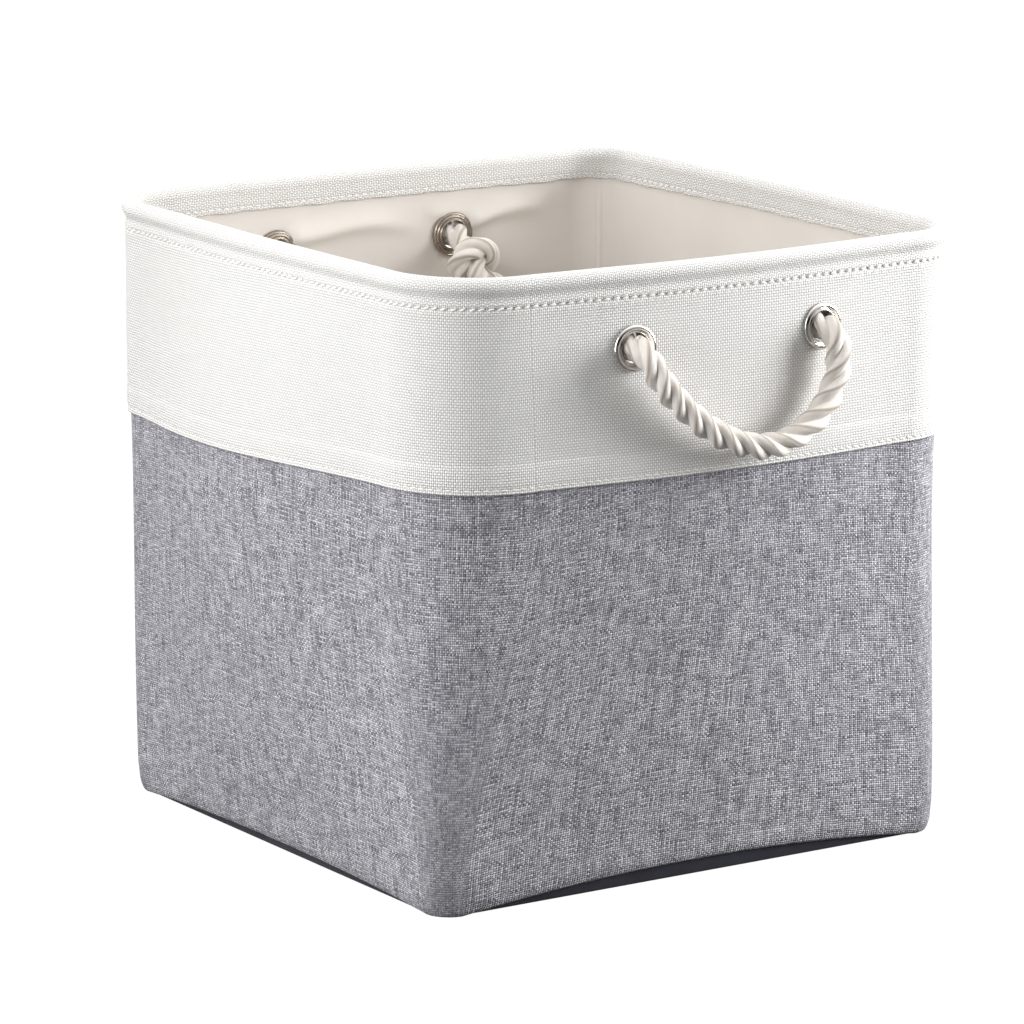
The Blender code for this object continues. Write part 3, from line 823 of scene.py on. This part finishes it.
# Soft folds in the lining: the side, both ends as (along the wall, height), how far the fold
# stands in from the wall and how wide it is
FOLDS = (
    (2, (0.0480, 0.2935), (-0.0470, 0.2925), 0.0044, 0.0055),
    (2, (0.0680, 0.2700), (0.0000, 0.2560), 0.0018, 0.0100),
    (2, (-0.0420, 0.2960), (-0.0760, 0.3000), 0.0022, 0.0045),
    (2, (-0.0680, 0.2880), (-0.1250, 0.3010), 0.0054, 0.0050),
    (2, (-0.0700, 0.2720), (-0.1280, 0.2460), 0.0032, 0.0095),
    (2, (-0.0600, 0.2640), (-0.0750, 0.2050), 0.0020, 0.0120),
    (2, (0.0560, 0.2650), (0.0700, 0.2000), 0.0020, 0.0120),
    (0, (-0.0450, 0.2880), (0.0560, 0.2930), 0.0020, 0.0070),
    (0, (-0.0680, 0.2900), (-0.1200, 0.3000), 0.0022, 0.0070),
    (0, (0.0740, 0.2870), (0.1200, 0.2600), 0.0020, 0.0110),
    (0, (-0.0540, 0.2650), (-0.0700, 0.2000), 0.0018, 0.0120),
    (1, (-0.1350, 0.3000), (-0.1150, 0.2200), 0.0020, 0.0090),
    (1, (-0.0900, 0.2700), (-0.1000, 0.1500), 0.0012, 0.0200),
    (1, (0.0900, 0.2400), (0.1300, 0.1200), 0.0016, 0.0160),
    (3, (-0.1200, 0.2900), (-0.1000, 0.1900), 0.0016, 0.0130),
    (3, (0.0700, 0.2500), (0.1200, 0.1300), 0.0016, 0.0160),
)


def folds(z):
    """How far the lining's soft folds stand in from the wall."""
    side, place = AROUND
    total = np.zeros(len(side))
    z = np.broadcast_to(z, total.shape)
    width = np.where(side % 2 == 0, RIM_WIDTH, RIM_DEPTH)
    corner_before, corner_after = RIM_CORNERS[(side - 1) % 4], RIM_CORNERS[side]
    along = np.where(
        place <= 1,
        between(corner_before - width / 2, width / 2 - corner_after, np.clip(place, 0, 1)),
        width / 2 - corner_after + (place - 1) * corner_after,
    )
    for where, start, end, height, wide in FOLDS:
        start, end = np.array(start), np.array(end)
        run = end - start
        length = np.linalg.norm(run)
        run /= length
        offset = np.stack([along, z], 1) - start
        t = offset @ run
        away = offset @ np.array([-run[1], run[0]])
        away = away + 0.0025 * np.sin(t * 70 + start[0] * 90)
        fade = smooth(t / 0.012 + 0.4) * smooth((length - t) / (length * 0.55))
        spread = wide * (0.75 + 0.7 * np.clip(t / length, 0, 1))
        ridge = np.where(away < 0, hollow(away, spread * 1.8), hollow(away, spread * 0.75))
        total += (side == where) * height * fade * ridge
    return total


def slack(z):
    """Wide slow waves of the loose lining."""
    angle = 2 * np.pi * LENGTHS[:-1] / ROUND
    up = np.broadcast_to(z, angle.shape) / HEIGHT
    waves = (
        np.sin(7 * angle + 5 * up + 0.5)
        + 0.7 * np.sin(12 * angle - 9 * up + 2.2)
        + 0.5 * np.sin(19 * angle + 14 * up + 4.0)
        + 0.5 * np.sin(5 * angle + 21 * up)
    )
    loose = smooth((0.300 - np.broadcast_to(z, angle.shape)) / 0.05)
    return 0.0005 * loose * (waves + 1.6)


def corner_gather():
    """Where along each corner the lining stands off the wall, as it doesn't quite reach into it."""
    _, place = AROUND
    turn = np.clip(place - 1, 0, 1)
    return np.sin(np.pi * turn) ** 2


def make_lining():
    """The inner cloth of the walls. It is finest where it shows, above 0.180."""
    join = join_mark()
    pinch = hollow(join_distance(), 0.0035)
    low, top = 0.0018, 0.3135
    heights = (
        *np.linspace(low, 0.010, 5)[:-1],
        *np.linspace(0.010, 0.180, 26)[:-1],
        *np.linspace(0.180, top, 62),
    )
    rows = [(LINING_OUTER, z) for z in (top, 0.302, 0.285, 0.27, 0.24, 0.18, 0.12, 0.06, 0.02, low)]
    for z in heights:
        tight = smooth((0.3105 - z) / 0.02)
        near_floor = smooth((z - low) / 0.02)
        extra = (folds(z) + slack(z)) * tight * near_floor
        extra = extra + 0.0012 * corner_gather() * tight * near_floor
        inset = LINING_INNER + 0.0001 + extra - 0.0005 * join * tight + 0.0006 * pinch * tight
        rows.append((inset, z))
    made = tube("lining", rows, LINING_CLOTH, "lining_wall", clear_of_grommets(GROMMET_HOLE))
    return made


def make_lining_floor():
    shares = (0.0, 0.02, 0.25, 0.5, 0.75, 0.93, 1.0)
    rows = []
    for z, order in ((0.0011, shares), (0.0018, shares[::-1])):
        edge = skin(AROUND, LINING_OUTER, z)
        rows += [level_row(edge, share, z) for share in order]
    made = closed_cloth("lining_floor_cloth", rows, LENGTHS, LINING_CLOTH)
    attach(made, "bin")
    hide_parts("lining_floor")
    return made


def cover_outline(half, corner):
    """Round the board's cover, anticlockwise: centres and outward directions, corner apart."""
    signs = ((1, 1), (-1, 1), (-1, -1), (1, -1))
    corner_steps, side_steps = 20, 100
    centres, outs = [], []
    for k in range(4):
        centre, following = (np.array(signs[n % 4]) * (half - corner) for n in (k, k + 1))
        for step in range(corner_steps):
            angle = math.pi / 2 * (k + step / corner_steps)
            centres.append(centre)
            outs.append(np.array([math.cos(angle), math.sin(angle)]))
        out = np.array([math.cos(math.pi / 2 * (k + 1)), math.sin(math.pi / 2 * (k + 1))])
        start, end = centre + corner * out, following + corner * out
        for step in range(1, side_steps):
            centres.append(start + (end - start) * step / side_steps - out * corner)
            outs.append(out)
    return np.array(centres), np.array(outs)


def make_board_cover():
    """The cloth cover of the loose board: round edges, stitching near them and a soft top."""
    low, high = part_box("base_board_cover")
    half = (np.array(high) - np.array(low))[:2] / 2
    middle_z, half_z = (low.z + high.z) / 2, (high.z - low.z) / 2
    corner, full = 0.012, half.min()
    centres, outs = cover_outline(half, corner)

    def ring(inset, z):
        flat = centres + outs * (corner - min(inset, corner))
        if inset > corner:
            flat = flat * (1 - (inset - corner) / full)
        return np.concatenate([flat, np.full((len(flat), 1), z)], 1)

    turn = 2 * np.pi * np.arange(len(outs)) / len(outs)
    far = (0.9999, 0.98, 0.85, 0.7, 0.55, 0.4, 0.28, 0.18, 0.12, 0.085, 0.065)
    shares = (*far, 0.05, 0.042, 0.036, 0.030, 0.022, 0.012, 0.006, 0.002)
    rows = []
    for level in (1, -1):
        part = []
        for share in shares:
            inset = share * full
            puff = 0.25 * hollow(inset - 0.010, 0.006) - 0.5 * hollow(inset - 0.0055, 0.0012)
            edge = min(1.0, inset / 0.0018)
            rise = half_z * math.sqrt(max(0, 1 - (1 - edge) ** 2)) + 0.0004 * puff * (level > 0)
            row = ring(inset, middle_z + level * rise)
            if level > 0:
                row[:, 2] += 0.00018 * np.sin(turn * 9 + inset * 60) * smooth(inset / 0.03)
            part.append(row)
        rows += part if level > 0 else part[::-1]
    edge_row = rows[len(shares) - 1]
    length = np.linalg.norm(np.roll(edge_row, -1, 0) - edge_row, axis=1)
    u = np.concatenate([[0], np.cumsum(length)])
    made = closed_cloth("base_board_sleeve", rows, u, LINING_CLOTH)
    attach(made, "base_insert")
    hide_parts("base_board_cover")
    return made


band, band_threads = make_canvas_band()
linen_wall = make_linen_wall()
base_cloth = make_base_cloth()
lining = make_lining()
lining_floor = make_lining_floor()
board_cover = make_board_cover()


# Grommets

def turned_metal(name, outline, place, outward, material, node):
    """A ring turned round the outward direction from its closed outline of (radius, height)."""
    ring = np.array(outline + (outline[0],))
    pairs = list(zip(ring, ring[1:]))
    fine = np.array([between(a, b, share) for a, b in pairs for share in (0.0, 0.34, 0.67)])
    for _ in range(2):
        fine = fine * 0.5 + (np.roll(fine, 1, 0) + np.roll(fine, -1, 0)) * 0.25
    across = np.cross(outward, (0, 0, 1.0))
    across /= np.linalg.norm(across)
    other = np.cross(outward, across)
    around, row_length, row_pitch = 80, 0.06, 0.0004
    angle = np.arange(around) / around * 2 * np.pi
    radial = np.cos(angle)[:, None] * across + np.sin(angle)[:, None] * other
    rows = [place + radial * radius + outward * height for radius, height in fine]
    u = np.arange(around + 1) / around * row_length
    v = np.arange(len(fine)) * row_pitch
    made = grid_object(name, rows, u, v, True, True, material)
    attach(made, "bin")
    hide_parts(node)
    return made


# Closed outlines, as (radius, height over the wall's outer face)
EYELET = (
    (0.0084, 0.0007),
    (0.0121, 0.0007),
    (0.0122, 0.0011),
    (0.0119, 0.0017),
    (0.0112, 0.0023),
    (0.0105, 0.0025),
    (0.0098, 0.0022),
    (0.0092, 0.0013),
    (0.0089, 0.0010),
    (0.0086, 0.0013),
    (0.0082, 0.0016),
    (0.0079, 0.0012),
    (0.0077, 0.0000),
    (0.0077, -0.0086),
    (0.0081, -0.0090),
    (0.0084, -0.0080),
    (0.0083, -0.0040),
)
WASHER = (
    (0.0086, -0.0072),
    (0.0086, -0.0084),
    (0.0079, -0.0090),
    (0.0078, -0.0096),
    (0.0081, -0.0101),
    (0.0086, -0.0101),
    (0.0090, -0.0094),
    (0.0094, -0.0093),
    (0.0098, -0.0098),
    (0.0103, -0.0099),
    (0.0107, -0.0093),
    (0.0110, -0.0091),
    (0.0115, -0.0094),
    (0.0120, -0.0092),
    (0.0125, -0.0084),
    (0.0127, -0.0076),
    (0.0126, -0.0073),
)


def add_grommets():
    for side, side_name in ((0, "front"), (2, "back")):
        for sign, hand in ((-1, "left"), (1, "right")):
            place, outward, _ = grommet_frame(side, sign)
            label = f"{side_name}_{hand}"
            rings = (
                ("outer_ring", EYELET, NICKEL, "eyelet", "nickel"),
                ("inner_ring", WASHER, DULL_NICKEL, "washer", "dull_nickel"),
            )
            for name, outline, metal, node, slot in rings:
                turned_metal(
                    f"{name}_{label}", outline, place, outward, metal, f"{node}_{label}"
                )


add_grommets()


# Ropes

def smooth_line(points, spacing):
    """Points at an even spacing on a Catmull-Rom curve through the given ones."""
    points = np.asarray(points, float)
    before, after = 2 * points[0] - points[1], 2 * points[-1] - points[-2]
    ends = np.concatenate([[before], points, [after]])
    steps = 24
    t = np.arange(steps)[:, None] / steps
    line = []
    for a, b, c, d in zip(ends, ends[1:], ends[2:], ends[3:]):
        square, cube = 2 * a - 5 * b + 4 * c - d, 3 * b - a - 3 * c + d
        line.append(0.5 * (2 * b + (c - a) * t + square * t * t + cube * t ** 3))
    line = np.concatenate([*line, points[-1:]])
    return even_line(line, spacing)


def run_along(line):
    return np.concatenate([[0], np.cumsum(np.linalg.norm(np.diff(line, axis=0), axis=1))])


def even_line(line, spacing):
    run = run_along(line)
    count = int(round(run[-1] / spacing)) + 1
    even = np.linspace(0, run[-1], count)
    return np.stack([np.interp(even, run, line[:, k]) for k in range(3)], 1)


def line_length(line):
    return float(np.linalg.norm(np.diff(line, axis=0), axis=1).sum())


def rope_mesh(name, line, radius, first_angle, round_end=False):
    """A three-strand rope along a line. Its section is three overlapping circles, which turn
    as it goes."""
    around, strand, offset, tip = 42, radius * 0.53, radius * 0.49, radius * 0.6
    angle = np.arange(around) / around * 2 * np.pi
    local = (angle + np.pi / 3) % (2 * np.pi / 3) - np.pi / 3
    section = offset * np.cos(local) + np.sqrt(strand ** 2 - (offset * np.sin(local)) ** 2)
    tangent = unit(np.gradient(line, axis=0))
    run = run_along(line)
    side = np.cross(tangent[0], (0.31, 0.17, 0.93))
    rows = []
    for k in range(len(line)):
        side = side - (side @ tangent[k]) * tangent[k]
        side /= np.linalg.norm(side)
        other = np.cross(tangent[k], side)
        turn = angle + first_angle + 2 * np.pi * run[k] / LAY
        scale, left = 1.0, run[-1] - run[k]
        if round_end and left < tip:
            scale = math.sqrt(max(0.02, 1 - (1 - left / tip) ** 2))
        swell = 1 + 0.025 * math.sin(run[k] * 410) + 0.02 * math.sin(run[k] * 173 + 1.0)
        radial = np.cos(turn)[:, None] * side + np.sin(turn)[:, None] * other
        rows.append(line[k] + radial * (section * scale * swell)[:, None])
    # Both ends close on a point
    first, last = (np.repeat(row.mean(0)[None], around, 0) for row in (rows[0], rows[-1]))
    rows = np.array([first, *rows, last])
    v = np.concatenate([[0], run, [run[-1]]])
    u = np.arange(around + 1) / around
    made = grid_object(name, rows, u, v, True, False, ROPE)
    merge_points(made)
    return made


def tighten_knot(hand, tail_end):
    """An overhand knot: a slack one whose length is taken up step by step, while it keeps clear
    of itself. It is in its own frame: x goes inwards from the wall, y sideways and z up, from
    the middle of the hole."""
    steps, rounds, shrink = 74, 14, 0.9955
    count, clear = 72, 0.0096
    # Where the rope starts, where it leaves the straight, and what the knot can't go past
    first_x, inner_x, wall_x = -0.004, 0.0178, 0.0198
    t = np.linspace(-1.98, 1.98, 300)
    trefoil = ((t ** 4 - 4 * t * t) * hand, t ** 3 - 3 * t, (t ** 5 - 10 * t) * 0.16)
    slack = 0.0052 * np.stack(trefoil, 1)
    start, end = np.array([inner_x, 0, 0]), np.array(tail_end)
    chord = slack[-1] - slack[0]
    chord /= np.linalg.norm(chord)
    wanted = (end - start) / np.linalg.norm(end - start)
    (x, y, z), cosine = np.cross(chord, wanted), chord @ wanted
    skew = np.array([[0, -z, y], [z, 0, -x], [-y, x, 0]])
    slack = (slack - slack.mean(0)) @ (np.eye(3) + skew + skew @ skew / (1 + cosine)).T
    slack += (start + end) / 2 + (0.012, 0, 0)
    line = np.concatenate([[[first_x, 0, 0]], [start], slack, [end]])
    line = even_line(line, line_length(line) / (count - 1))[:count]
    piece = line_length(line) / (count - 1)
    last = line[-1].copy()
    for _ in range(steps):
        piece *= shrink
        x = np.arange(count) * piece + first_x
        held, free = x < inner_x - 0.004, x > wall_x + 0.002
        straight = np.stack([x, np.zeros(count), np.zeros(count)], 1)
        i, j = np.triu_indices(count, int(np.ceil(clear * 1.6 / piece)))
        for _ in range(rounds):
            for odd in (0, 1):
                a = np.arange(odd, count - 1, 2)
                gap = line[a + 1] - line[a]
                length = np.linalg.norm(gap, axis=1, keepdims=True)
                move = (length - piece) / length * 0.5 * gap
                line[a] += move
                line[a + 1] -= move
            bend = ((line[:-2] + line[2:]) / 2 - line[1:-1]) * 0.10
            line[1:-1] += bend
            line[:-2] -= bend / 2
            line[2:] -= bend / 2
            gap = line[j] - line[i]
            length = np.linalg.norm(gap, axis=1)
            hit = length < clear
            if hit.any():
                a, b = i[hit], j[hit]
                push = ((clear - length[hit]) / length[hit] * 0.5)[:, None] * gap[hit]
                times = np.bincount(np.concatenate([a, b]), minlength=count)
                total = np.zeros_like(line)
                np.add.at(total, a, -push)
                np.add.at(total, b, push)
                line += total / np.maximum(times, 1)[:, None] * 1.5
            line[free, 0] = np.maximum(line[free, 0], wall_x)
            line[held] = straight[held]
            line[-1] = last
    return line


# The hanging loop: along the wall, out from the grommets' outer face, and height
LOOP = (
    (-0.0575, -0.0080, 0.2850),
    (-0.0575, -0.0020, 0.2850),
    (-0.0574, 0.0040, 0.2849),
    (-0.0568, 0.0092, 0.2826),
    (-0.0550, 0.0122, 0.2775),
    (-0.0500, 0.0130, 0.2690),
    (-0.0420, 0.0130, 0.2598),
    (-0.0330, 0.0135, 0.2512),
    (-0.0225, 0.0140, 0.2430),
    (-0.0105, 0.0143, 0.2362),
    (0.0020, 0.0145, 0.2315),
    (0.0150, 0.0145, 0.2295),
    (0.0270, 0.0143, 0.2310),
    (0.0380, 0.0140, 0.2358),
    (0.0475, 0.0136, 0.2432),
    (0.0545, 0.0130, 0.2525),
    (0.0588, 0.0126, 0.2635),
    (0.0596, 0.0120, 0.2745),
    (0.0584, 0.0092, 0.2822),
    (0.0576, 0.0040, 0.2849),
    (0.0575, -0.0020, 0.2850),
    (0.0575, -0.0080, 0.2850),
)
# The length of a strand's turn, and how much thicker the rope is where it hangs loose
LAY, LOOP_SWELL = 0.0400, 1.04
# Which way each knot is tied, where its tail ends in its own frame, and its strands' first angle
KNOTS = {
    ("front", "left"): (1, (0.026, -0.020, -0.035), 0.3),
    ("front", "right"): (-1, (0.028, 0.008, -0.038), 1.1),
    ("back", "left"): (1, (0.026, -0.020, -0.035), 2.0),
    ("back", "right"): (-1, (0.027, 0.010, -0.038), 0.7),
}


def add_handle(side_name):
    side = 0 if side_name == "front" else 2
    turn = 1 if side == 0 else -1
    shift = HANDLE_SHIFT[side]
    walls = [abs(grommet_frame(side, sign)[0][1]) for sign in (-1, 1)]
    wall_y = sum(walls) / 2
    route = [((x + shift) * turn, -(wall_y + o) * turn, z) for x, o, z in LOOP]
    line = smooth_line(route, 0.0008)
    loop = rope_mesh(f"{side_name}_rope", line, ROPE_RADIUS * LOOP_SWELL, 0.4)
    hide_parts(f"rope_loop_{side_name}")
    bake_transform(loop)
    for hand in ("left", "right"):
        sign = 1 if hand == "right" else -1
        x = (shift + GROMMET_X * sign) * turn
        twist, tail_end, first = KNOTS[side_name, hand]
        local = tighten_knot(twist, tail_end)
        inward = np.array([0, turn, 0])
        aside = np.array([turn, 0, 0])
        centre = np.array([x, -wall_y * turn, GROMMET_Z])
        level = np.array([0, 0, 1])
        world = centre + local[:, :1] * inward + local[:, 1:2] * aside + local[:, 2:] * level
        name = f"{side_name}_knot_{hand}"
        knot = rope_mesh(name, smooth_line(world, 0.0009), ROPE_RADIUS, first, round_end=True)
        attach(knot, f"{side_name}_rope_ends")
        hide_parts(f"rope_knot_{side_name}_{hand}")


add_handle("front")
add_handle("back")


# Stage and light

# The floor's own light as the bin and as the camera get it, and the two greys of its surface
FLOOR_BOUNCE, FLOOR_SEEN, FLOOR_TONE = 0.04, 0.96, (0.06, 0.07)
# The world's brightest light, and the direction towards which it fades to none
WORLD_LEVEL, WORLD_DARK_WAY = 1.75, (-0.40, -0.87, -0.25)


def add_softbox(name, place, aim, size, power):
    """A rectangular light that the camera doesn't see."""
    data = bpy.data.lights.new(name, "AREA")
    data.shape, data.energy = "RECTANGLE", power
    data.size, data.size_y = size
    light = link(bpy.data.objects.new(name, data))
    light.location = place
    light.rotation_euler = (Vector(place) - Vector(aim)).to_track_quat("Z", "Y").to_euler()
    light.visible_camera = False


def add_floor():
    """Plain white to the camera, and much less bright as a light for the bin."""
    side = 30.0
    corners = [(-side, -side, 0), (side, -side, 0), (side, side, 0), (-side, side, 0)]
    floor = mesh_object("floor", corners, [(0, 1, 2, 3)])
    g = Graph("pale_floor", 0.9)
    g.shader.inputs["Specular IOR Level"].default_value = 0.0
    g.shader.inputs["Emission Color"].default_value = (1, 1, 1, 1)
    seen = g.node("ShaderNodeLightPath").outputs["Is Camera Ray"]
    g.put(g.shader.inputs["Emission Strength"], g.remap(seen, 0, 1, FLOOR_BOUNCE, FLOOR_SEEN))
    cloud = g.noise(g.place(), 2.0, 2.0)
    low, high = FLOOR_TONE
    floor.data.materials.append(g.finish(g.mix(cloud, (low, low, low), (high, high, high))))


def add_world():
    """Bright above, behind and beside the bin, and dark low down where the camera stands."""
    world = bpy.data.worlds.new("studio")
    bpy.context.scene.world = world
    world.use_nodes = True
    w = Nodes(world.node_tree)
    way = w.node("ShaderNodeTexCoord").outputs["Generated"]
    toward = w.node("ShaderNodeVectorMath", {0: way, 1: WORLD_DARK_WAY}, operation="DOT_PRODUCT")
    level = w.remap(toward.outputs["Value"], -0.1, 0.8, WORLD_LEVEL, 0.0)
    seen = w.node("ShaderNodeLightPath").outputs["Is Camera Ray"]
    background = w.tree.nodes["Background"]
    background.inputs["Color"].default_value = (1, 1, 1, 1)
    w.put(background.inputs["Strength"], w.math("MAXIMUM", level, seen))


add_floor()
add_world()
add_softbox("left_softbox", (-0.95, -0.20, 0.40), (0, -0.02, 0.15), (0.5, 0.8), 6.9)
add_softbox("right_softbox", (0.80, -0.60, 0.47), (0, -0.17, 0.20), (0.4, 0.6), 13.2)
bpy.context.scene.view_settings.view_transform = "Standard"

# The boards and the wire are the CAD's own shapes, inside the cloth
wall_boards = [f"wall_board_{side_name}" for side_name in ("front", "right", "back", "left")]
for name in (*wall_boards, "base_board", "rim_wire"):
    NODES[name].data.materials.clear()
    NODES[name].data.materials.append(STEEL if name == "rim_wire" else BOARD)
